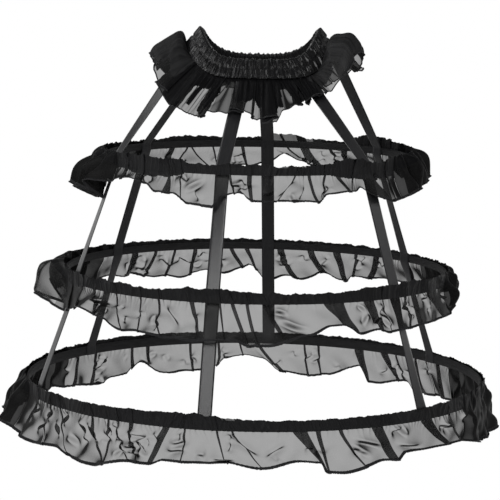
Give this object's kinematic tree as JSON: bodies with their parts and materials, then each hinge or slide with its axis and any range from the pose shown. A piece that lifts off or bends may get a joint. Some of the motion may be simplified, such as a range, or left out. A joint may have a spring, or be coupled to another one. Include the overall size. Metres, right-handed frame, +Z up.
{
  "type": "crinoline cage",
  "caption": "Open hoop petticoat: elastic satin waistband with a gathered frill, ribbon tapes, and boned hoops in cloth casings that each carry a sheer gathered ruffle.",
  "frame": {"origin": "centre of the waist opening, at the middle of the waistband's height at the front", "axes": "+Z up through the waist opening, -Y to the front, +X to the right of the picture"},
  "size_m": [0.6608, 0.6375, 0.5238],
  "materials": {
    "satin": "satin, fine gathers",
    "elastic": "matt knit",
    "organza": "sheer, crisp",
    "casing": "matt woven tape",
    "ribbon": "satin ribbon",
    "boning": "plain",
    "joiner": "plain"
  },
  "bodies": {
    "root": {"waistband": "satin", "waist_elastic": "elastic", "waist_frill": "organza", "upper_hoop": "boning", "upper_hoop_joiner": "joiner", "upper_casing": "casing", "upper_ruffle": "organza", "middle_hoop": "boning", "middle_hoop_joiner": "joiner", "middle_casing": "casing", "middle_ruffle": "organza", "lower_hoop": "boning", "lower_hoop_joiner": "joiner", "lower_casing": "casing", "lower_ruffle": "organza", "left_tape": "ribbon", "front_tape": "ribbon", "front_right_tape": "ribbon", "back_right_tape": "ribbon", "back_tape": "ribbon", "back_left_tape": "ribbon"}
  },
  "joints": []
}
